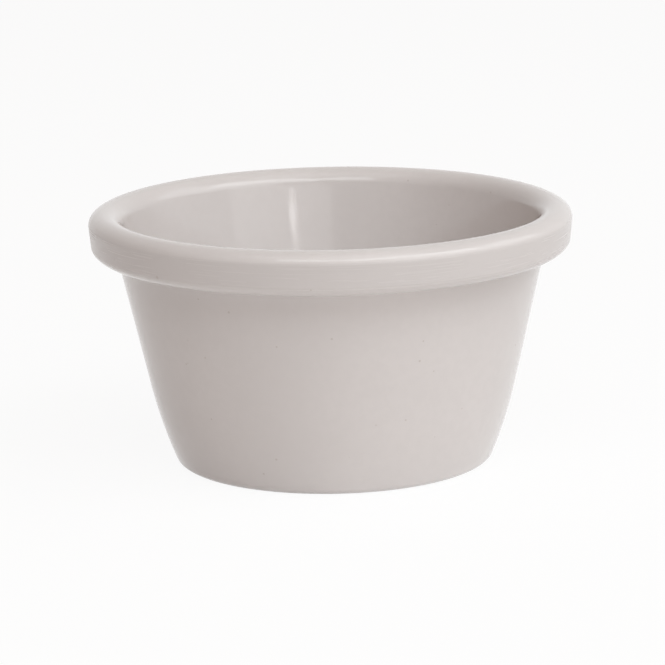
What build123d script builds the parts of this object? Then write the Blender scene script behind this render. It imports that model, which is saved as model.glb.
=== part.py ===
from build123d import *
import os
from math import asin, atan2, cos, degrees, radians, sin, sqrt, tan

# Ramekin, one body of moulded melamine. Millimetres, +Z up.
# The origin is the centre of the circle that the foot ring stands on.

# The whole cup
lip_diameter = 81.0
total_height = 42.9
wall_thickness = 2.2
# How far the wall leans outward from the vertical, the draft that frees it from the mould
wall_draft_degrees = 12.8

# The rolled lip: a rounded crown above and a rounding below
lip_height = 7.4
crown_rounding = 3.2
lower_rounding = 3.0
# The band between them, where the moulding flash was buffed away, is flat and leans in towards the foot
band_lean_degrees = 5.5
# How much of the lip is left above the band, and as much below it
band_margin = 1.5
# The inner corner where the flat underside of the lip meets the wall
lip_root_rounding = 0.5

# The heel, one long arc that turns the straight wall in towards the foot
heel_start_height = 13.3
heel_rounding = 78.0

# The foot ring, and the shallow recess inside it
foot_rounding = 1.6
foot_ring_width = 2.2
recess_depth = 1.0
recess_slope_degrees = 30.0
recess_edge_rounding = 0.5
recess_corner_rounding = 1.5

# The floor inside the cup
floor_thickness = 2.6
floor_corner_rounding = 9.0

# Places worked out from the sizes above
wall_draft = radians(wall_draft_degrees)
lip_radius = lip_diameter / 2
underside_height = total_height - lip_height
floor_height = recess_depth + floor_thickness

# The band, whose upper edge is the widest ring of the lip
band_top_height = total_height - band_margin
band_bottom_height = underside_height + band_margin
band_lean = (band_top_height - band_bottom_height) * tan(radians(band_lean_degrees))
band_bottom_radius = lip_radius - band_lean


def angle_on_arc(height, centre_height, rounding):
    """Angle, in degrees, at which an arc reaches a height on its outer side."""
    return degrees(asin((height - centre_height) / rounding))


# Centres of the lip's two roundings, which meet the band at its two edges
crown_height = total_height - crown_rounding
crown_reach = sqrt(crown_rounding**2 - (band_top_height - crown_height) ** 2)
crown_radius = lip_radius - crown_reach
lower_height = underside_height + lower_rounding
lower_reach = sqrt(lower_rounding**2 - (band_bottom_height - lower_height) ** 2)
lower_radius = band_bottom_radius - lower_reach

crown_start_degrees = angle_on_arc(band_top_height, crown_height, crown_rounding)
lower_end_degrees = angle_on_arc(band_bottom_height, lower_height, lower_rounding)

# The inner wall runs down from the crown, touching it, at the wall's draft
brim_radius = crown_radius - crown_rounding * cos(wall_draft)
brim_height = crown_height + crown_rounding * sin(wall_draft)


def inner_radius(height):
    """Radius of the straight inner wall at a height."""
    return brim_radius - (brim_height - height) * tan(wall_draft)


def outer_radius(height):
    """Radius of the straight outer wall at a height."""
    return inner_radius(height) + wall_thickness / cos(wall_draft)


# Centre of the heel's arc, which starts square to the wall's own direction
heel_start_radius = outer_radius(heel_start_height)
heel_radius = heel_start_radius - heel_rounding * cos(wall_draft)
heel_height = heel_start_height + heel_rounding * sin(wall_draft)

# The foot's small rounding touches the heel's arc from inside and the table from above
foot_drop = heel_height - foot_rounding
foot_reach = sqrt((heel_rounding - foot_rounding) ** 2 - foot_drop**2)
foot_radius = heel_radius + foot_reach
heel_end_degrees = degrees(atan2(foot_drop, foot_reach))
ring_inner_radius = foot_radius - foot_ring_width
recess_radius = ring_inner_radius - recess_depth / tan(radians(recess_slope_degrees))


def cup_section():
    """Half of the section through the axis, with X as the radius and Y as the height."""
    with BuildSketch() as section:
        with BuildLine():
            crown = CenterArc(
                (crown_radius, crown_height),
                crown_rounding,
                crown_start_degrees,
                180 - wall_draft_degrees - crown_start_degrees,
            )
            FilletPolyline(
                crown @ 1,
                (inner_radius(floor_height), floor_height),
                (0, floor_height),
                radius=[floor_corner_rounding],
            )
            lower = CenterArc(
                (lower_radius, lower_height),
                lower_rounding,
                -90,
                90 + lower_end_degrees,
            )
            Line(lower @ 1, crown @ 0)
            FilletPolyline(
                lower @ 0,
                (outer_radius(underside_height), underside_height),
                (heel_start_radius, heel_start_height),
                radius=[lip_root_rounding],
            )
            CenterArc(
                (heel_radius, heel_height),
                heel_rounding,
                -heel_end_degrees,
                heel_end_degrees - wall_draft_degrees,
            )
            CenterArc(
                (foot_radius, foot_rounding),
                foot_rounding,
                -90,
                90 - heel_end_degrees,
            )
            FilletPolyline(
                (foot_radius, 0),
                (ring_inner_radius, 0),
                (recess_radius, recess_depth),
                (0, recess_depth),
                radius=[recess_edge_rounding, recess_corner_rounding],
            )
            Line((0, recess_depth), (0, floor_height))
        make_face()
    return section.sketch


def ramekin_cup():
    """The cup: its section turned once round the vertical axis."""
    upright_section = Plane.XZ * cup_section()
    return revolve(upright_section, axis=Axis.Z)


pieces = {"ramekin_cup": ramekin_cup()}

os.makedirs("parts", exist_ok=True)
for name, piece in pieces.items():
    piece.label = name
    export_step(piece, f"parts/{name}.step")
    print(name, "valid", piece.is_valid, "volume", round(piece.volume))
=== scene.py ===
"""A ramekin of bone-white moulded melamine, with its finish, its studio and its camera.

The cup is one surface of revolution, finer than the solid in the frame and with the same sizes. Its finish
is glossy moulded resin. A plain pale floor, soft lamps and a camera at the photograph's viewing angle go with
it. Lengths are in metres, +Z is up, and the origin is the centre of the circle that the foot ring stands on.
"""

import logging
import math
from dataclasses import dataclass
from enum import Enum
from typing import NamedTuple, Optional, Union

import bpy
import numpy as np
from mathutils import Matrix, Vector

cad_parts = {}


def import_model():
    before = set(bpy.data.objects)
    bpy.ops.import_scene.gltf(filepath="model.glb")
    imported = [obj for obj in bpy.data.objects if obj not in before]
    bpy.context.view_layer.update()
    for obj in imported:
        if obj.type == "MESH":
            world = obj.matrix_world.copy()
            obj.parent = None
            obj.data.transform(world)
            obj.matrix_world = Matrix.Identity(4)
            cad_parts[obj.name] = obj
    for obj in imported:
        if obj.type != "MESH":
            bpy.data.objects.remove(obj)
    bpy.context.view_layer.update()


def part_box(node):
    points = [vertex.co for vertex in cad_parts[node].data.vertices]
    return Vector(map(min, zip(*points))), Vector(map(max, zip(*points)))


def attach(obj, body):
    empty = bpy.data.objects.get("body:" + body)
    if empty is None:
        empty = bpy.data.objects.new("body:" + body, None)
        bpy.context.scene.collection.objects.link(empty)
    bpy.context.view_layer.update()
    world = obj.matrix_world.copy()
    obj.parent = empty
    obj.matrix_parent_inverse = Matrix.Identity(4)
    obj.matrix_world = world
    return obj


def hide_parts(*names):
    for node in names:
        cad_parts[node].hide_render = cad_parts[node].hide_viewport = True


MM = 0.001
MICROMETRE = 0.001 * MM
# Two points of an outline that are closer than this are the same point
SAME_POINT = 0.1 * MICROMETRE
WHITE = (1.0, 1.0, 1.0, 1.0)
CUP_NODE = "ramekin_cup"
ROOT_BODY = "root"

log = logging.getLogger("ramekin")


class LampShape(Enum):
    """The outlines that a soft lamp can have."""

    BOX = "RECTANGLE"
    OVAL = "ELLIPSE"


class Place(NamedTuple):
    """A place in the half section: how far it is from the axis, and how high."""

    radius: float
    height: float

    def angle_to(self, other: "Place") -> float:
        """Return the direction from here to another place, 0 pointing away from the axis."""
        return math.atan2(other.height - self.height, other.radius - self.radius)


class Outline:
    """Half of a section through the axis, grown stretch by stretch as rows of radius and height."""

    def __init__(self, start: tuple[float, float]) -> None:
        """Start the outline at one point.

        Args:
            start: the first point's radius and height.
        """
        self.stretches: list[np.ndarray] = [np.array([start])]

    def run(self, end: tuple[float, float], steps: int) -> None:
        """Add a straight run: equal shares of the way from the last point to the end.

        Args:
            end: the run's far point, as radius and height.
            steps: how many points the run adds.
        """
        start = self.stretches[-1][-1]
        share = np.linspace(0.0, 1.0, steps + 1)[1:, None]
        self.stretches.append(start + (np.array(end) - start) * share)

    def arc(
        self, centre: tuple[float, float], radius: float, first: float, last: float, steps: int
    ) -> None:
        """Add an arc: the centre plus the radius times the cosine and sine of evenly spaced angles.

        Args:
            centre: the arc's centre, as radius and height.
            radius: the arc's own radius.
            first: the angle it starts at, in radians, 0 pointing away from the axis.
            last: the angle it ends at.
            steps: how many intervals the arc has.
        """
        angle = np.linspace(first, last, steps + 1)
        around = np.stack([np.cos(angle), np.sin(angle)], axis=1)
        self.stretches.append(np.array(centre) + radius * around)

    def points(self) -> np.ndarray:
        """Join the stretches, without points that repeat the one before.

        Returns:
            The outline, as rows of radius and height.
        """
        merged = np.concatenate(self.stretches)
        gap = np.linalg.norm(np.diff(merged, axis=0), axis=1)
        return merged[np.concatenate([[True], gap > SAME_POINT])]


def revolved_mesh(name: str, outline: np.ndarray, turns: int) -> bpy.types.Mesh:
    """Turn an outline once round the vertical axis.

    A point at radius r and height h goes to (r sin a, -r cos a, h) for evenly spaced angles a. The outline's
    first and last points lie on the axis. Each is one vertex, and a fan of triangles round it closes its end.

    Args:
        name: the mesh's name.
        outline: rows of radius and height, from the axis round the section and back to the axis.
        turns: how many columns of vertices go round.

    Returns:
        The closed mesh, smooth shaded, with its faces pointing outward.
    """
    ring = outline[1:-1]
    angle = np.arange(turns) * (2 * math.pi / turns)
    x = ring[:, 0, None] * np.sin(angle)
    y = -ring[:, 0, None] * np.cos(angle)
    z = np.broadcast_to(ring[:, 1, None], x.shape)
    poles = np.array([[0.0, 0.0, outline[0, 1]], [0.0, 0.0, outline[-1, 1]]])
    vertices = np.concatenate([np.stack([x, y, z], axis=2).reshape(-1, 3), poles])

    rows = len(ring)
    column = np.arange(turns)
    beside = (column + 1) % turns
    lower = np.arange(rows - 1)[:, None] * turns
    upper = lower + turns
    quads = np.stack([lower + column, upper + column, upper + beside, lower + beside], axis=2)
    first_pole = rows * turns
    last_ring = (rows - 1) * turns
    start_fan = np.stack([np.full(turns, first_pole), column, beside], axis=1)
    end_fan = np.stack([np.full(turns, first_pole + 1), last_ring + beside, last_ring + column], axis=1)

    mesh = bpy.data.meshes.new(name)
    faces = quads.reshape(-1, 4).tolist() + start_fan.tolist() + end_fan.tolist()
    mesh.from_pydata(vertices.tolist(), [], faces)
    mesh.polygons.foreach_set("use_smooth", np.ones(len(faces), dtype=bool))
    mesh.update()
    return mesh


@dataclass(frozen=True)
class Speck:
    """A dark fleck in the resin's outer face.

    Attributes:
        azimuth: where it lies round the cup, in degrees, 0 facing the camera and 90 on the right.
        height: its height above the table.
        size: its radius.
    """

    azimuth: float
    height: float
    size: float = 0.2 * MM


@dataclass(frozen=True)
class Zones:
    """Where the parts of the cup lie that the finish treats in their own way.

    Attributes:
        band_bottom: the height of the buffed band's lower edge.
        band_top: the height of its upper edge.
        band_radius: a radius that only the band's outer face reaches.
        recess_height: the height of the recess under the cup.
        recess_radius: the radius of the foot ring's inner edge.
        band_softness: how far the band's edges fade.
        foot_wear: up to what height the foot is scuffed.
        recess_fade: how high above the recess its marks start to fade, and where they are gone.
        recess_softness: how far the recess fades towards the foot ring.
    """

    band_bottom: float
    band_top: float
    band_radius: float
    recess_height: float
    recess_radius: float
    band_softness: float = 0.3 * MM
    foot_wear: float = 0.35 * MM
    recess_fade: tuple[float, float] = (0.2 * MM, 0.6 * MM)
    recess_softness: float = 0.5 * MM


# What an input can get: a plain value, or another node's output
Feed = Union[float, tuple, Vector, bpy.types.NodeSocket]


class Pattern:
    """The nodes of one material, with short ways to add the kinds that the finish needs."""

    def __init__(self, tree: bpy.types.NodeTree) -> None:
        """Start with the place on the piece that is being shaded.

        Args:
            tree: the material's node tree.
        """
        self.tree = tree
        self.place = self.node("ShaderNodeTexCoord").outputs["Object"]

    def node(self, kind: str, feeds: Optional[dict[Union[str, int], Feed]] = None) -> bpy.types.Node:
        """Add a node and feed its sockets.

        Args:
            kind: the node's type.
            feeds: what each input gets, by name or number: another node's socket, or a plain value.

        Returns:
            The node.
        """
        node = self.tree.nodes.new(kind)
        for key, feed in (feeds or {}).items():
            self.feed(node.inputs[key], feed)
        return node

    def feed(self, socket: bpy.types.NodeSocket, feed: Feed) -> None:
        """Link a socket to another one, or give it a plain value.

        Args:
            socket: the input to feed.
            feed: another node's output, or the value.
        """
        if isinstance(feed, bpy.types.NodeSocket):
            self.tree.links.new(feed, socket)
        else:
            socket.default_value = feed

    def maths(self, operation: str, *feeds: Feed) -> bpy.types.NodeSocket:
        """Work out one operation on numbers.

        Args:
            operation: the operation's name.
            feeds: what it works on, in order.

        Returns:
            A socket with the result.
        """
        node = self.node("ShaderNodeMath", dict(enumerate(feeds)))
        node.operation = operation
        return node.outputs["Value"]

    def step(self, value: Feed, start: float, end: float) -> bpy.types.NodeSocket:
        """Rise smoothly from 0 to 1 as a value goes from start to end, which may be the lower of the two.

        Args:
            value: the value.
            start: where the rise starts.
            end: where it ends.

        Returns:
            A socket with the share of the rise.
        """
        flipped = start > end
        limits = {"Value": value, "From Min": min(start, end), "From Max": max(start, end)}
        limits |= {"To Min": 1.0 if flipped else 0.0, "To Max": 0.0 if flipped else 1.0}
        node = self.node("ShaderNodeMapRange", limits)
        node.interpolation_type = "SMOOTHSTEP"
        return node.outputs["Result"]

    def noise(
        self, scale: float, detail: float, place: Optional[Feed] = None
    ) -> bpy.types.NodeSocket:
        """Add cloudy noise, which is 0.5 on average.

        Args:
            scale: how many clouds go on a metre, about.
            detail: how many finer layers the noise has.
            place: where to read it, or the shaded place if left out.

        Returns:
            A socket with the noise.
        """
        feeds = {"Vector": place or self.place, "Scale": scale, "Detail": detail}
        return self.node("ShaderNodeTexNoise", feeds).outputs["Fac"]

    def stretched(self, across: float, along: float) -> bpy.types.NodeSocket:
        """Scale the place by one factor across the axis and another along it.

        Args:
            across: the factor for both directions across the axis.
            along: the factor along it.

        Returns:
            A socket with the scaled place.
        """
        node = self.node("ShaderNodeVectorMath", {0: self.place, 1: (across, across, along)})
        node.operation = "MULTIPLY"
        return node.outputs["Vector"]

    def distance(self, point: Vector) -> bpy.types.NodeSocket:
        """Measure how far the place is from a point.

        Args:
            point: the point.

        Returns:
            A socket with the distance.
        """
        node = self.node("ShaderNodeVectorMath", {0: self.place, 1: point})
        node.operation = "DISTANCE"
        return node.outputs["Value"]

    def blend(self, share: Feed, plain: Feed, marked: Feed) -> bpy.types.NodeSocket:
        """Mix two colours.

        Args:
            share: how much of the second colour goes in, from 0 to 1.
            plain: the first colour.
            marked: the second one.

        Returns:
            A socket with the mixed colour.
        """
        node = self.tree.nodes.new("ShaderNodeMix")
        node.data_type = "RGBA"
        for name, feed in (("Factor", share), ("A", plain), ("B", marked)):
            sockets = [socket for socket in node.inputs if socket.name == name and socket.enabled]
            self.feed(sockets[0], feed)
        return next(socket for socket in node.outputs if socket.enabled)


@dataclass(frozen=True)
class MelamineFinish:
    """Bone-white melamine, polished by its mould, with the small marks that such ware has.

    The tone drifts a little over the cup, with a finer mottle and sparse flecks in the resin. The gloss has
    a faint orange peel. The band carries the fine level lines of a buffing wheel, and its tone is made a
    little darker, as painted shade on the lip's outer face. The recess carries the rings of a turned mould.
    The foot ring is scuffed where it stands.
    """

    # The resin itself, and the band's darker tone beside it, which is painted shade on the lip's outer face
    tone: tuple[float, float, float] = (0.70, 0.668, 0.658)
    band_painted_shade: float = 0.945
    refraction: float = 1.5
    # The slow drift of the tone and its finer mottle
    drift: float = 0.025
    drift_scale: float = 38.0
    drift_limits: tuple[float, float] = (0.3, 0.7)
    mottle_shade: float = 0.96
    mottle_share: float = 0.25
    mottle_scale: float = 620.0
    mottle_limits: tuple[float, float] = (0.35, 0.65)
    # The lines of the buffing wheel, long round the cup and fine up it
    line_shade: float = 0.86
    line_share: float = 0.35
    line_limits: tuple[float, float] = (0.5, 0.72)
    lines_across: float = 90.0
    lines_along: float = 4200.0
    # The flecks, each in the middle of a cell, which has one where its own chance is past the limits
    fleck: tuple[float, float, float] = (0.46, 0.40, 0.36)
    fleck_share: float = 0.4
    fleck_cells: float = 430.0
    fleck_chance: tuple[float, float] = (0.86, 0.9)
    fleck_edge: tuple[float, float] = (0.11, 0.06)
    # The scuffs under the foot ring
    scuff: tuple[float, float, float] = (0.56, 0.51, 0.48)
    scuff_share: float = 0.6
    scuff_scale: float = 260.0
    scuff_limits: tuple[float, float] = (0.38, 0.62)
    scuff_grain: float = 1500.0
    # The mould's polish, how much it varies, and what each zone adds to its roughness
    roughness: float = 0.09
    roughness_spread: float = 0.06
    roughness_scale: float = 170.0
    band_roughness: float = 0.3
    foot_roughness: float = 0.3
    recess_roughness: float = 0.16
    # Heights of the orange peel, the buffing lines, the scuffs and the turned rings, in micrometres
    peel_height: float = 4.0
    line_height: float = 1.6
    scuff_height: float = 12.0
    ring_height: float = 1.2
    # The size of the orange peel's pattern, and the step from one turned ring to the next
    peel_scale: float = 420.0
    ring_pitch: float = 0.45 * MM

    def shade(self, factor: float) -> tuple[float, float, float, float]:
        """Return the tone made lighter or darker."""
        return tuple(part * factor for part in self.tone) + (1.0,)

    def material(self, zones: Zones, specks: list[tuple[Vector, float]]) -> bpy.types.Material:
        """Make the material.

        Args:
            zones: where the band, the foot and the recess lie.
            specks: the place and radius of each fleck that the photograph shows.

        Returns:
            The material, with its pattern on Object coordinates.
        """
        material = bpy.data.materials.new("melamine")
        material.use_nodes = True
        shader = material.node_tree.nodes["Principled BSDF"]
        pattern = Pattern(material.node_tree)
        parts = pattern.node("ShaderNodeSeparateXYZ", {0: pattern.place}).outputs
        height = parts["Z"]
        squares = [pattern.maths("POWER", parts[name], 2.0) for name in ("X", "Y")]
        radius = pattern.maths("SQRT", pattern.maths("ADD", *squares))

        band = self._band(pattern, zones, radius, height)
        buffed = pattern.noise(1.0, detail=3.0, place=pattern.stretched(self.lines_across, self.lines_along))
        foot = pattern.step(height, zones.foot_wear, 0.0)
        recess = self._recess(pattern, zones, radius, height)

        pattern.feed(shader.inputs["Base Color"], self._colour(pattern, band, buffed, foot, specks))
        pattern.feed(shader.inputs["Roughness"], self._gloss(pattern, band, buffed, foot, recess))
        pattern.feed(shader.inputs["Normal"], self._relief(pattern, band, buffed, foot, recess, radius))
        shader.inputs["IOR"].default_value = self.refraction
        return material

    @staticmethod
    def _band(pattern: Pattern, zones: Zones, radius: Feed, height: Feed) -> bpy.types.NodeSocket:
        """Mark the buffed band.

        Args:
            pattern: the material's nodes.
            zones: where the band lies.
            radius: how far the shaded place is from the axis.
            height: how high it is.

        Returns:
            A socket that is 1 on the band and 0 elsewhere.
        """
        soft = zones.band_softness
        above = pattern.step(height, zones.band_bottom, zones.band_bottom + soft)
        below = pattern.step(height, zones.band_top, zones.band_top - soft)
        outside = pattern.step(radius, zones.band_radius - soft, zones.band_radius)
        return pattern.maths("MULTIPLY", pattern.maths("MULTIPLY", above, below), outside)

    @staticmethod
    def _recess(pattern: Pattern, zones: Zones, radius: Feed, height: Feed) -> bpy.types.NodeSocket:
        """Mark the recess under the cup.

        Args:
            pattern: the material's nodes.
            zones: where the recess lies.
            radius: how far the shaded place is from the axis.
            height: how high it is.

        Returns:
            A socket that is 1 in the recess and 0 elsewhere.
        """
        full, gone = zones.recess_fade
        low = pattern.step(height, zones.recess_height + gone, zones.recess_height + full)
        inside = pattern.step(radius, zones.recess_radius, zones.recess_radius - zones.recess_softness)
        return pattern.maths("MULTIPLY", low, inside)

    def _colour(
        self, pattern: Pattern, band: Feed, buffed: Feed, foot: Feed, specks: list[tuple[Vector, float]]
    ) -> bpy.types.NodeSocket:
        """Mix the drift, the mottle, the painted shade on the band, the buffing lines, the flecks and the
        scuffed foot into one colour.

        Args:
            pattern: the material's nodes.
            band: 1 on the buffed band.
            buffed: the buffing wheel's lines.
            foot: 1 where the foot ring stands.
            specks: the place and radius of each fleck that the photograph shows.

        Returns:
            A socket with the colour.
        """
        drift = pattern.step(pattern.noise(self.drift_scale, detail=1.0), *self.drift_limits)
        tone = pattern.blend(drift, self.shade(1.0 - self.drift), self.shade(1.0 + self.drift))
        mottle = pattern.step(pattern.noise(self.mottle_scale, detail=3.0), *self.mottle_limits)
        mottle = pattern.maths("MULTIPLY", mottle, self.mottle_share)
        tone = pattern.blend(mottle, tone, self.shade(self.mottle_shade))
        # Painted shade: the band's colour is made darker to stand in for the shade on the lip's outer face
        tone = pattern.blend(band, tone, self.shade(self.band_painted_shade))
        line = pattern.maths("MULTIPLY", pattern.step(buffed, *self.line_limits), band)
        line = pattern.maths("MULTIPLY", line, self.line_share)
        tone = pattern.blend(line, tone, self.shade(self.line_shade))

        cells = pattern.node("ShaderNodeTexVoronoi", {"Vector": pattern.place, "Scale": self.fleck_cells})
        chance = pattern.node("ShaderNodeSeparateColor", {0: cells.outputs["Color"]}).outputs["Red"]
        fleck = pattern.step(cells.outputs["Distance"], *self.fleck_edge)
        fleck = pattern.maths("MULTIPLY", fleck, pattern.step(chance, *self.fleck_chance))
        for point, size in specks:
            fleck = pattern.maths("MAXIMUM", fleck, pattern.step(pattern.distance(point), size, size / 2))
        tone = pattern.blend(pattern.maths("MULTIPLY", fleck, self.fleck_share), tone, (*self.fleck, 1.0))

        scuffs = pattern.step(pattern.noise(self.scuff_scale, detail=4.0), *self.scuff_limits)
        worn = pattern.maths("MULTIPLY", foot, scuffs)
        return pattern.blend(pattern.maths("MULTIPLY", worn, self.scuff_share), tone, (*self.scuff, 1.0))

    def _gloss(
        self, pattern: Pattern, band: Feed, buffed: Feed, foot: Feed, recess: Feed
    ) -> bpy.types.NodeSocket:
        """Add the roughness of the buffed band, the foot and the recess to the polish of the mould.

        Args:
            pattern: the material's nodes.
            band: 1 on the buffed band.
            buffed: the buffing wheel's lines.
            foot: 1 where the foot ring stands.
            recess: 1 in the recess.

        Returns:
            A socket with the roughness.
        """
        clouds = pattern.noise(self.roughness_scale, detail=3.0)
        lowest = self.roughness - self.roughness_spread / 2
        rough = pattern.maths("MULTIPLY_ADD", clouds, self.roughness_spread, lowest)
        lines = pattern.maths("MULTIPLY", band, buffed)
        rough = pattern.maths("MULTIPLY_ADD", lines, self.band_roughness, rough)
        rough = pattern.maths("MULTIPLY_ADD", foot, self.foot_roughness, rough)
        return pattern.maths("MULTIPLY_ADD", recess, self.recess_roughness, rough)

    def _relief(
        self, pattern: Pattern, band: Feed, buffed: Feed, foot: Feed, recess: Feed, radius: Feed
    ) -> bpy.types.NodeSocket:
        """Add up the orange peel, the buffing lines, the scuffs and the turned rings, as heights.

        Args:
            pattern: the material's nodes.
            band: 1 on the buffed band.
            buffed: the buffing wheel's lines.
            foot: 1 where the foot ring stands.
            recess: 1 in the recess.
            radius: how far the shaded place is from the axis.

        Returns:
            A socket with the direction that the surface faces.
        """
        peel = pattern.maths("MULTIPLY", pattern.noise(self.peel_scale, detail=2.0), self.peel_height)
        lines = pattern.maths("MULTIPLY", pattern.maths("MULTIPLY", band, buffed), self.line_height)
        worn = pattern.maths("MULTIPLY", foot, pattern.noise(self.scuff_grain, detail=4.0))
        scuffs = pattern.maths("MULTIPLY", worn, self.scuff_height)
        turns = pattern.maths("SINE", pattern.maths("MULTIPLY", radius, 2 * math.pi / self.ring_pitch))
        rings = pattern.maths("MULTIPLY", pattern.maths("MULTIPLY", recess, turns), self.ring_height)
        relief = pattern.maths("ADD", peel, lines)
        relief = pattern.maths("ADD", relief, pattern.maths("ADD", scuffs, rings))
        return pattern.node("ShaderNodeBump", {"Height": relief, "Distance": MICROMETRE}).outputs["Normal"]


@dataclass(frozen=True)
class Fineness:
    """How many steps each stretch of the cup's outline has, and how many columns go round."""

    floor: int = 14
    floor_corner: int = 20
    inner_wall: int = 16
    crown: int = 52
    band_top: int = 14
    band: int = 52
    band_bottom: int = 8
    lower_rounding: int = 30
    lip_root: int = 8
    outer_wall: int = 16
    heel: int = 18
    foot: int = 14
    foot_ring: int = 6
    recess_edge: int = 6
    recess_corner: int = 8
    recess: int = 16
    turns: int = 288


@dataclass
class RamekinCup:
    """The cup: wall, floor, rolled lip and foot ring in one body.

    The lip's radius and the total height come from the frame. The other sizes are those of the solid in it.
    """

    # The whole cup
    lip_radius: float
    total_height: float
    wall_thickness: float = 2.2 * MM
    wall_draft: float = math.radians(12.8)
    # The rolled lip: a rounded crown above, a rounding below, and the flat buffed band between them
    lip_height: float = 7.4 * MM
    crown_rounding: float = 3.2 * MM
    lower_rounding: float = 3.0 * MM
    band_lean: float = math.radians(5.5)
    band_margin: float = 1.5 * MM
    band_top_softness: float = 1.6 * MM
    band_bottom_softness: float = 0.6 * MM
    # How far out from the crown's centre the band's finish starts, as a share of the crown's rounding
    band_share: float = 0.6
    mould_line_depth: float = 0.05 * MM
    mould_line_width: float = 0.13 * MM
    lip_root_rounding: float = 0.5 * MM
    # The heel's long arc, the foot ring and the recess inside it
    heel_start_height: float = 13.3 * MM
    heel_rounding: float = 78.0 * MM
    foot_rounding: float = 1.6 * MM
    foot_ring_width: float = 2.2 * MM
    recess_depth: float = 1.0 * MM
    recess_slope: float = math.radians(30)
    recess_edge_rounding: float = 0.5 * MM
    recess_corner_rounding: float = 1.5 * MM
    # The floor inside the cup
    floor_thickness: float = 2.6 * MM
    floor_corner_rounding: float = 9.0 * MM
    fineness: Fineness = Fineness()

    @classmethod
    def from_frame(cls) -> "RamekinCup":
        """Read the two overall sizes from the solid's box."""
        low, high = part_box(CUP_NODE)
        return cls(lip_radius=(high[0] - low[0]) / 2, total_height=high[2] - low[2])

    def underside(self) -> float:
        """Return the height of the lip's flat underside."""
        return self.total_height - self.lip_height

    def band_top(self) -> Place:
        """Return the upper edge of the band, the lip's widest ring."""
        return Place(self.lip_radius, self.total_height - self.band_margin)

    def band_bottom(self) -> Place:
        """Find the lower edge of the band, which leans in towards the foot.

        Returns:
            The edge's place in the half section.
        """
        top = self.band_top()
        height = self.underside() + self.band_margin
        return Place(top.radius - (top.height - height) * math.tan(self.band_lean), height)

    @staticmethod
    def rounding_centre(rounding: float, centre_height: float, edge: Place) -> Place:
        """Find the centre of a rounding that ends at one of the band's edges.

        The edge lies on the rounding, so the centre's radius is the edge's less the rounding's reach there.

        Args:
            rounding: the rounding's own radius.
            centre_height: the height of the rounding's centre.
            edge: the band's edge.

        Returns:
            The rounding's centre.
        """
        reach = math.sqrt(rounding**2 - (edge.height - centre_height) ** 2)
        return Place(edge.radius - reach, centre_height)

    def crown_centre(self) -> Place:
        """Return the centre of the lip's upper rounding."""
        centre_height = self.total_height - self.crown_rounding
        return self.rounding_centre(self.crown_rounding, centre_height, self.band_top())

    def lower_centre(self) -> Place:
        """Return the centre of the lip's lower rounding."""
        centre_height = self.underside() + self.lower_rounding
        return self.rounding_centre(self.lower_rounding, centre_height, self.band_bottom())

    def softened_edge(self, centre: Place, rounding: float, soft: float, side: int) -> Place:
        """Find the centre of the small rounding that softens one of the band's edges.

        The small circle touches the lip's own rounding and the band's straight line from inside. So it lies
        inside the line by its own radius, and off the rounding's centre by the rounding less that radius.

        Args:
            centre: the centre of the lip's own rounding there.
            rounding: the radius of that rounding.
            soft: the small rounding's own radius.
            side: 1 for the band's upper edge, -1 for its lower edge.

        Returns:
            The small rounding's centre.
        """
        facing = np.array([math.cos(self.band_lean), -math.sin(self.band_lean)])
        along = np.array([math.sin(self.band_lean), math.cos(self.band_lean)])
        out = float(np.dot(np.subtract(self.band_top(), centre), facing)) - soft
        off = math.sqrt((rounding - soft) ** 2 - out**2)
        return Place(*(np.array(centre) + facing * out + along * off * side))

    def inner_radius(self, height: float) -> float:
        """Find the radius of the inner wall, a straight line that touches the crown and leans by the draft.

        Args:
            height: the height to look at.

        Returns:
            The line's radius there.
        """
        crown = self.crown_centre()
        brim_radius = crown.radius - self.crown_rounding * math.cos(self.wall_draft)
        brim_height = crown.height + self.crown_rounding * math.sin(self.wall_draft)
        return brim_radius - (brim_height - height) * math.tan(self.wall_draft)

    def outer_radius(self, height: float) -> float:
        """Return the radius of the outer wall's straight line at a height."""
        return self.inner_radius(height) + self.wall_thickness / math.cos(self.wall_draft)

    def heel_centre(self) -> Place:
        """Return the centre of the heel's long arc, which starts square to the wall's own direction."""
        radius = self.outer_radius(self.heel_start_height) - self.heel_rounding * math.cos(self.wall_draft)
        return Place(radius, self.heel_start_height + self.heel_rounding * math.sin(self.wall_draft))

    def foot_centre(self) -> Place:
        """Find the centre of the foot's rounding, which touches the heel's arc from inside and the table.

        Returns:
            The centre's place in the half section.
        """
        heel = self.heel_centre()
        drop = heel.height - self.foot_rounding
        reach = math.sqrt((self.heel_rounding - self.foot_rounding) ** 2 - drop**2)
        return Place(heel.radius + reach, self.foot_rounding)

    def foot_inner_radius(self) -> float:
        """Return the radius of the foot ring's inner edge."""
        return self.foot_centre().radius - self.foot_ring_width

    def outline(self) -> np.ndarray:
        """Go round the section, from the floor's middle over the lip to the middle of the underside.

        Returns:
            The outline, as rows of radius and height.
        """
        steps = self.fineness
        draft = self.wall_draft
        floor_height = self.recess_depth + self.floor_thickness
        underside = self.underside()
        crown, lower = self.crown_centre(), self.lower_centre()

        # The floor's corner touches the floor from above and the inner wall from inside
        reach = self.floor_corner_rounding * math.tan((math.pi / 2 - draft) / 2)
        corner = (self.inner_radius(floor_height) - reach, floor_height + self.floor_corner_rounding)
        line = Outline((0.0, floor_height))
        line.run((corner[0], floor_height), steps.floor)
        line.arc(corner, self.floor_corner_rounding, -math.pi / 2, -draft, steps.floor_corner)
        line.run((self.inner_radius(crown.height), crown.height), steps.inner_wall)

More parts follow.
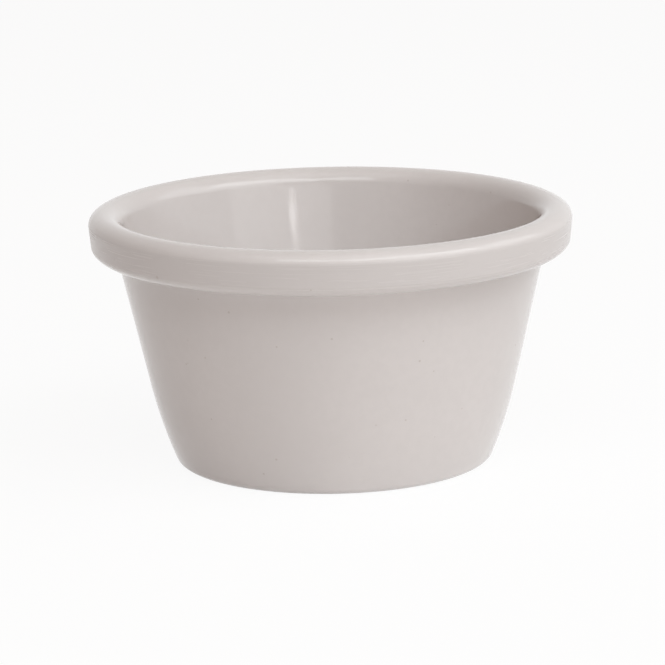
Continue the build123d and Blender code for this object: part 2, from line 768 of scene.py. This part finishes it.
        # Over the lip, from the inner wall to the flat underside, with the band's two edges softened
        top_soft, bottom_soft = self.band_top_softness, self.band_bottom_softness
        lean = self.band_lean
        upper_edge = self.softened_edge(crown, self.crown_rounding, top_soft, 1)
        lower_edge = self.softened_edge(lower, self.lower_rounding, bottom_soft, -1)
        end_radius = lower_edge.radius + bottom_soft * math.cos(lean)
        end_height = lower_edge.height - bottom_soft * math.sin(lean)
        crown_end, lower_start = crown.angle_to(upper_edge), lower.angle_to(lower_edge)
        line.arc(crown, self.crown_rounding, math.pi - draft, crown_end, steps.crown)
        line.arc(upper_edge, top_soft, crown_end, -lean, steps.band_top)
        line.run((end_radius, end_height), steps.band)
        line.arc(lower_edge, bottom_soft, -lean, lower_start, steps.band_bottom)
        line.arc(lower, self.lower_rounding, lower_start, -math.pi / 2, steps.lower_rounding)

        # The root of the lip, where the underside meets the outer wall
        root = self.lip_root_rounding
        root_radius = self.outer_radius(underside) + root * math.tan((math.pi / 2 - draft) / 2)
        line.arc((root_radius, underside - root), root, math.pi / 2, math.pi - draft, steps.lip_root)

        # The straight wall, the heel's long arc and the foot's small rounding
        heel, foot = self.heel_centre(), self.foot_centre()
        heel_end = heel.angle_to(foot)
        line.run((self.outer_radius(self.heel_start_height), self.heel_start_height), steps.outer_wall)
        line.arc(heel, self.heel_rounding, -draft, heel_end, steps.heel)
        line.arc(foot, self.foot_rounding, heel_end, -math.pi / 2, steps.foot)

        # Across the foot ring and into the recess
        ring_inner = self.foot_inner_radius()
        slope = self.recess_slope
        edge = self.recess_edge_rounding
        ring_end = ring_inner + edge * math.tan(slope / 2)
        recess_radius = ring_inner - self.recess_depth / math.tan(slope)
        inner_corner = self.recess_corner_rounding
        recess_start = recess_radius - inner_corner * math.tan(slope / 2)
        recess_corner = (recess_start, self.recess_depth - inner_corner)
        line.run((ring_end, 0.0), steps.foot_ring)
        line.arc((ring_end, edge), edge, -math.pi / 2, -math.pi / 2 - slope, steps.recess_edge)
        line.arc(recess_corner, inner_corner, math.pi / 2 - slope, math.pi / 2, steps.recess_corner)
        line.run((0.0, self.recess_depth), steps.recess)
        return line.points()

    def mould_line(self, outline: np.ndarray) -> np.ndarray:
        """Press the mould's fine parting line into the outer face, at the band's lower edge.

        A point's radius loses the line's depth times a bell curve of its height above the edge.

        Args:
            outline: rows of radius and height.

        Returns:
            The outline with the line in it.
        """
        rise = (outline[:, 1] - self.underside() - self.band_margin) / self.mould_line_width
        outer_face = outline[:, 0] > self.crown_centre().radius
        pressed = outline.copy()
        pressed[:, 0] -= self.mould_line_depth * np.exp(-(rise**2)) * outer_face
        return pressed

    def zones(self) -> Zones:
        """Return where the finish finds the band, the foot and the recess."""
        return Zones(
            band_bottom=self.underside() + self.band_margin,
            band_top=self.total_height - self.band_margin,
            band_radius=self.crown_centre().radius + self.crown_rounding * self.band_share,
            recess_height=self.recess_depth,
            recess_radius=self.foot_inner_radius(),
        )

    def speck_place(self, speck: Speck, outline: np.ndarray) -> Vector:
        """Find a speck's place on the outer face, at the outline's outer radius at the speck's height.

        Args:
            speck: the speck.
            outline: rows of radius and height.

        Returns:
            Its place.
        """
        first, last = int(np.argmax(outline[:, 1])), int(np.argmin(outline[:, 1]))
        outer = outline[first:last][::-1]
        radius = float(np.interp(speck.height, outer[:, 1], outer[:, 0]))
        turn = math.radians(speck.azimuth)
        return Vector((radius * math.sin(turn), -radius * math.cos(turn), speck.height))

    def build(self, finish: MelamineFinish, specks: list[Speck]) -> bpy.types.Object:
        """Make the cup, dress it and set it in the frame.

        Args:
            finish: the finish that the cup wears.
            specks: the flecks that the photograph shows.

        Returns:
            The finished piece, which stands for the solid.
        """
        outline = self.mould_line(self.outline())
        mesh = revolved_mesh("cup", outline, self.fineness.turns)
        spots = [(self.speck_place(speck, outline), speck.size) for speck in specks]
        mesh.materials.append(finish.material(self.zones(), spots))
        piece = bpy.data.objects.new("cup", mesh)
        bpy.context.scene.collection.objects.link(piece)
        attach(piece, ROOT_BODY)
        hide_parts(CUP_NODE)
        return piece


@dataclass(frozen=True)
class Lamp:
    """A soft lamp, aimed at the cup.

    Attributes:
        name: what the lamp is for.
        azimuth: where it hangs round the cup, in degrees, 0 at the camera and 90 on the right.
        elevation: how high it hangs above the horizon, in degrees.
        width: its size across.
        height: its other size.
        glow: how bright its face looks, where 1 is a white surface in plain light.
        distance: how far it is from the point that it shines at.
        tilt: how far it is turned about its own aim, in degrees.
        shape: its outline.
        colour: the colour of its light.
    """

    name: str
    azimuth: float
    elevation: float
    width: float
    height: float
    glow: float
    distance: float = 1.0
    tilt: float = 0.0
    shape: LampShape = LampShape.BOX
    colour: tuple[float, float, float] = (1.0, 1.0, 1.0)

    def power(self) -> float:
        """Return the power in watts that gives the face its glow: pi times its area times the glow."""
        filled = math.pi / 4 if self.shape is LampShape.OVAL else 1.0
        return math.pi * self.width * self.height * filled * self.glow

    def build(self, target: Vector) -> bpy.types.Object:
        """Hang the lamp and aim it.

        Args:
            target: the point that it shines at.

        Returns:
            The lamp.
        """
        data = bpy.data.lights.new(self.name, "AREA")
        data.shape = self.shape.value
        data.size = self.width
        data.size_y = self.height
        data.energy = self.power()
        data.color = self.colour
        lamp = bpy.data.objects.new(self.name, data)
        turn, rise = math.radians(self.azimuth), math.radians(self.elevation)
        away = Vector((math.sin(turn) * math.cos(rise), -math.cos(turn) * math.cos(rise), math.sin(rise)))
        aim = away.to_track_quat("Z", "Y").to_matrix() @ Matrix.Rotation(math.radians(self.tilt), 3, "Z")
        lamp.matrix_world = Matrix.Translation(target + away * self.distance) @ aim.to_4x4()
        bpy.context.scene.collection.objects.link(lamp)
        log.info("lamp %s: %.2f W", self.name, self.power())
        return lamp


def seen_directly(tree: bpy.types.NodeTree) -> bpy.types.NodeSocket:
    """Add a test for light that goes on to the camera, or to it by way of a reflection or clear material.

    Args:
        tree: the node tree that asks.

    Returns:
        A socket that is 1 for the camera's own rays and for glossy and transmitted ones, and 0 for the rest.
    """
    path = tree.nodes.new("ShaderNodeLightPath")
    mirrored = tree.nodes.new("ShaderNodeMath")
    mirrored.operation = "MAXIMUM"
    tree.links.new(path.outputs["Is Glossy Ray"], mirrored.inputs[0])
    tree.links.new(path.outputs["Is Transmission Ray"], mirrored.inputs[1])
    either = tree.nodes.new("ShaderNodeMath")
    either.operation = "MAXIMUM"
    tree.links.new(path.outputs["Is Camera Ray"], either.inputs[0])
    tree.links.new(mirrored.outputs["Value"], either.inputs[1])
    return either.outputs["Value"]


@dataclass
class Studio:
    """The plain pale floor, the soft lamps and the pale surroundings.

    Attributes:
        floor_radius: the floor's radius.
        floor_sides: how many sides its outline has.
        floor_bounce: how much of the light on it the floor throws back at the cup.
        floor_white: how much of the floor's look is plain white, while the rest takes the cup's shadow.
        ambient: the even light from all round.
    """

    floor_radius: float = 2.5
    floor_sides: int = 96
    floor_bounce: float = 0.93
    floor_white: float = 0.92
    ambient: tuple[float, float, float] = (0.22, 0.16, 0.13)

    def floor_material(self) -> bpy.types.Material:
        """Make a matt pale floor that the camera and reflections see as near white, with the cup's shadow.

        Returns:
            The floor's material.
        """
        material = bpy.data.materials.new("floor")
        material.use_nodes = True
        nodes, links = material.node_tree.nodes, material.node_tree.links
        nodes.clear()
        matt = nodes.new("ShaderNodeBsdfDiffuse")
        matt.inputs["Color"].default_value = (self.floor_bounce,) * 3 + (1.0,)
        seen = nodes.new("ShaderNodeMixShader")
        shade = nodes.new("ShaderNodeBsdfDiffuse")
        shade.inputs["Color"].default_value = WHITE
        glow = nodes.new("ShaderNodeEmission")
        glow.inputs["Color"].default_value = WHITE
        seen.inputs["Fac"].default_value = self.floor_white
        links.new(shade.outputs["BSDF"], seen.inputs[1])
        links.new(glow.outputs["Emission"], seen.inputs[2])
        pick = nodes.new("ShaderNodeMixShader")
        links.new(seen_directly(material.node_tree), pick.inputs["Fac"])
        links.new(matt.outputs["BSDF"], pick.inputs[1])
        links.new(seen.outputs["Shader"], pick.inputs[2])
        out = nodes.new("ShaderNodeOutputMaterial")
        links.new(pick.outputs["Shader"], out.inputs["Surface"])
        return material

    def build_floor(self) -> bpy.types.Object:
        """Lay the floor at the height that the foot ring stands on.

        Returns:
            The floor.
        """
        sides, radius = self.floor_sides, self.floor_radius
        bpy.ops.mesh.primitive_circle_add(vertices=sides, radius=radius, fill_type="NGON")
        floor = bpy.context.object
        floor.name = "floor"
        floor.data.materials.append(self.floor_material())
        return floor

    def build_world(self) -> None:
        """Make the surroundings: an even light, and plain white where the camera sees past the floor."""
        world = bpy.data.worlds.new("surroundings")
        bpy.context.scene.world = world
        world.use_nodes = True
        nodes, links = world.node_tree.nodes, world.node_tree.links
        nodes.clear()
        even = nodes.new("ShaderNodeBackground")
        even.inputs["Strength"].default_value = 1.0
        even.inputs["Color"].default_value = (*self.ambient, 1.0)
        white = nodes.new("ShaderNodeBackground")
        white.inputs["Strength"].default_value = 1.0
        white.inputs["Color"].default_value = WHITE
        pick = nodes.new("ShaderNodeMixShader")
        links.new(seen_directly(world.node_tree), pick.inputs["Fac"])
        links.new(even.outputs["Background"], pick.inputs[1])
        links.new(white.outputs["Background"], pick.inputs[2])
        out = nodes.new("ShaderNodeOutputWorld")
        links.new(pick.outputs["Shader"], out.inputs["Surface"])

    def build(self, lamps: list[Lamp], target: Vector) -> None:
        """Set up the floor, the surroundings and the lamps.

        Args:
            lamps: the lamps to hang.
            target: the point that they shine at.
        """
        self.build_floor()
        self.build_world()
        for lamp in lamps:
            lamp.build(target)


@dataclass(frozen=True)
class PhotoCamera:
    """A camera at the photograph's viewing angle.

    Attributes:
        distance: how far it is from the origin.
        elevation: how high it stands above the table's plane, in degrees.
        aim_height: the height on the axis that it looks at.
        roll: how far it leans about its own aim, in degrees.
        lens: its focal length in millimetres.
        sensor: its sensor's width in millimetres.
        nearest: how close to it things can be and still show.
    """

    distance: float = 616.6 * MM
    elevation: float = 14.515
    aim_height: float = 21.22 * MM
    roll: float = -1.128
    lens: float = 196.41
    sensor: float = 36.0
    nearest: float = 10.0 * MM

    def build(self) -> bpy.types.Object:
        """Place the camera and make it the scene's own.

        Returns:
            The camera.
        """
        rise = math.radians(self.elevation)
        place = Vector((0.0, -math.cos(rise), math.sin(rise))) * self.distance
        back = (place - Vector((0.0, 0.0, self.aim_height))).normalized()
        level = Vector((0.0, 0.0, 1.0)).cross(back).normalized()
        upright = back.cross(level)
        lean = math.radians(self.roll)
        right = level * math.cos(lean) + upright * math.sin(lean)
        up = upright * math.cos(lean) - level * math.sin(lean)
        data = bpy.data.cameras.new("camera")
        data.lens = self.lens
        data.sensor_width = self.sensor
        data.clip_start = self.nearest
        camera = bpy.data.objects.new("camera", data)
        turn = Matrix((right, up, back)).transposed()
        camera.matrix_world = Matrix.Translation(place) @ turn.to_4x4()
        bpy.context.scene.collection.objects.link(camera)
        bpy.context.scene.camera = camera
        return camera


# The flecks that the photograph shows
SPECKS = [
    Speck(azimuth=25.5, height=26.3 * MM),
    Speck(azimuth=-40.9, height=12.3 * MM),
    Speck(azimuth=-37.3, height=33.4 * MM),
    Speck(azimuth=-38.7, height=23.2 * MM),
    Speck(azimuth=-47.1, height=21.4 * MM),
    Speck(azimuth=-15.4, height=26.3 * MM),
    Speck(azimuth=-44.0, height=37.2 * MM, size=0.35 * MM),
    Speck(azimuth=-4.7, height=37.0 * MM),
]

# The colour of the softboxes, a little cooler than white
DAYLIGHT = (0.94, 0.985, 1.0)

LAMPS = [
    Lamp("key softbox", azimuth=45, elevation=50, width=1.1, height=0.36, glow=3.15, colour=DAYLIGHT),
    Lamp(
        "upper left softbox", azimuth=-15, elevation=50, width=0.36, height=0.36, glow=2.9, colour=DAYLIGHT
    ),
    Lamp("side softbox", azimuth=62, elevation=30, width=1.0, height=0.36, glow=1.35, colour=DAYLIGHT),
    Lamp("far side softbox", azimuth=106, elevation=34, width=0.5, height=0.5, glow=1.2, colour=DAYLIGHT),
    Lamp("front fill", azimuth=30, elevation=10, width=1.15, height=0.36, glow=0.9),
    Lamp("front left fill", azimuth=-40, elevation=12, width=0.8, height=0.4, glow=0.12),
    Lamp("left fill", azimuth=-42, elevation=42, width=0.4, height=0.6, glow=0.18),
    Lamp("top fill", azimuth=0, elevation=80, width=0.9, height=0.5, glow=0.7),
    Lamp(
        "bare lamp", azimuth=21.2, elevation=15.9, width=0.042, height=0.012, glow=1.9, distance=0.384,
        tilt=19.0, shape=LampShape.OVAL,
    ),
    Lamp(
        "spark", azimuth=23.2, elevation=17.7, width=0.034, height=0.003, glow=18.0, distance=0.385,
        shape=LampShape.OVAL,
    ),
]


def main() -> None:
    """Build the cup, the studio and the camera, in that order."""
    logging.basicConfig(level=logging.INFO, format="%(name)s: %(message)s")
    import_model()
    bpy.context.scene.view_settings.view_transform = "Standard"
    cup = RamekinCup.from_frame()
    piece = cup.build(MelamineFinish(), SPECKS)
    log.info("%s: %d vertices, %d faces", piece.name, len(piece.data.vertices), len(piece.data.polygons))
    Studio().build(LAMPS, Vector((0.0, 0.0, cup.total_height / 2)))
    PhotoCamera().build()


if __name__ == "__main__":
    main()
